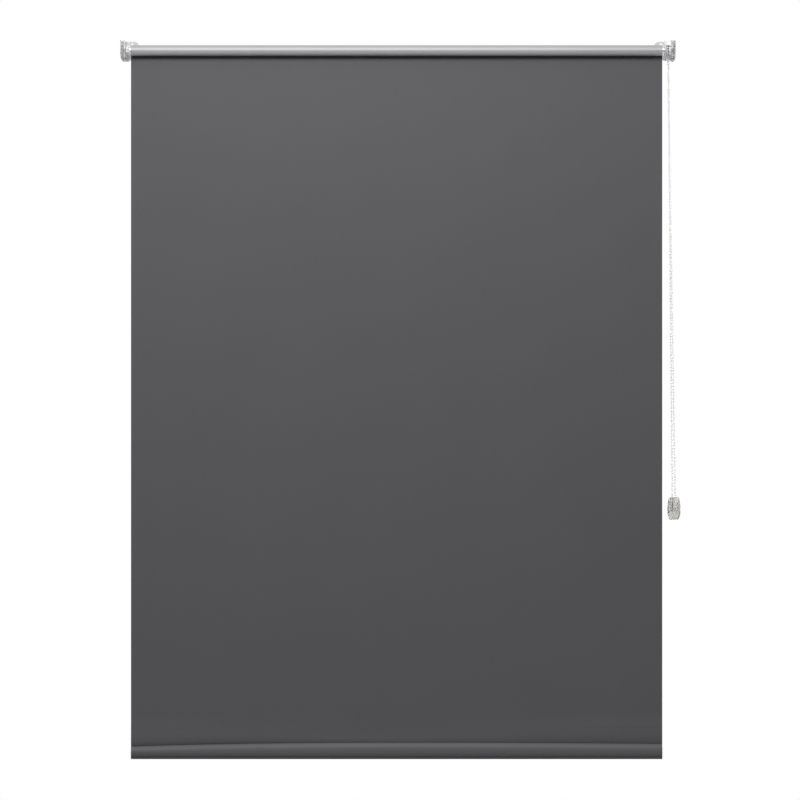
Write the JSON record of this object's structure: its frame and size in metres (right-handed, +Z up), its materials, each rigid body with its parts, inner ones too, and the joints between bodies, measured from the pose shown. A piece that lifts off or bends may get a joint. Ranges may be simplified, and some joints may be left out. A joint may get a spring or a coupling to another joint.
{
  "type": "roller blind",
  "caption": "Chain-operated roller blind with a dark room side and a silver back, on two clear wall brackets, lowered.",
  "frame": {"origin": "middle of the four wall screw holes, on the wall plane at the height of the roller's axis", "axes": "+X to the right along the roller, -Y into the room, +Y into the wall, +Z up"},
  "size_m": [1.0752, 0.046, 1.3804],
  "materials": {
    "clear_plastic": "clear moulded plastic",
    "white_plastic": "natural white moulded plastic",
    "chain_plastic": "translucent white balls on a cord",
    "panel_fabric": "anthracite blackout weave, silver-coated back",
    "silver_fabric": "satin silver coating on cloth",
    "aluminium": "mill finish",
    "spring_steel": "drawn wire"
  },
  "bodies": {
    "root": {"left_bracket": "clear_plastic", "right_bracket": "clear_plastic", "left_bracket_cover": "clear_plastic", "right_bracket_cover": "clear_plastic", "chain_housing": "clear_plastic", "chain_housing_cap": "clear_plastic", "drive_core": "white_plastic", "fabric_panel": "panel_fabric"},
    "roller": {"roller_tube": "aluminium", "fabric_roll": "silver_fabric", "idle_plug": "white_plastic", "idle_plug_cap": "white_plastic", "idle_spring": "spring_steel", "drive_plug": "white_plastic", "sprocket": "white_plastic", "brake_spring_inner": "spring_steel", "brake_spring_outer": "spring_steel"},
    "pin": {"idle_pin": "white_plastic"},
    "hem": {"hem_pocket": "panel_fabric", "hem_bar": "aluminium"},
    "chain": {"bead_chain": "chain_plastic", "pendant_front_shell": "clear_plastic", "pendant_rear_shell": "clear_plastic", "pendant_pin": "clear_plastic"}
  },
  "joints": [
    {"name": "roller_turn", "type": "hinge", "parent": "root", "child": "roller", "pos_m": [0, -0.024, 0], "axis": [1, 0, 0], "range_deg": [0, 5400]},
    {"name": "hem_lift", "type": "slide", "parent": "root", "child": "hem", "axis": [0, 0, 1], "range_m": [0, 1.2667], "deforming": ["fabric_panel"]},
    {"name": "chain_swing", "type": "hinge", "parent": "root", "child": "chain", "pos_m": [0.52065, -0.024, 0], "axis": [-1, 0, 0], "range_deg": [-0.6, 25.71]},
    {"name": "idle_pin_press", "type": "slide", "parent": "roller", "child": "pin", "axis": [1, 0, 0], "range_m": [0, 0.006], "stiffness_N_per_m": 400, "springref_m": -0.006, "deforming": ["idle_spring"]}
  ],
  "couplings": [
    {"joint": "roller_turn", "follows": "hem_lift", "rad_per_m": 74.4}
  ]
}
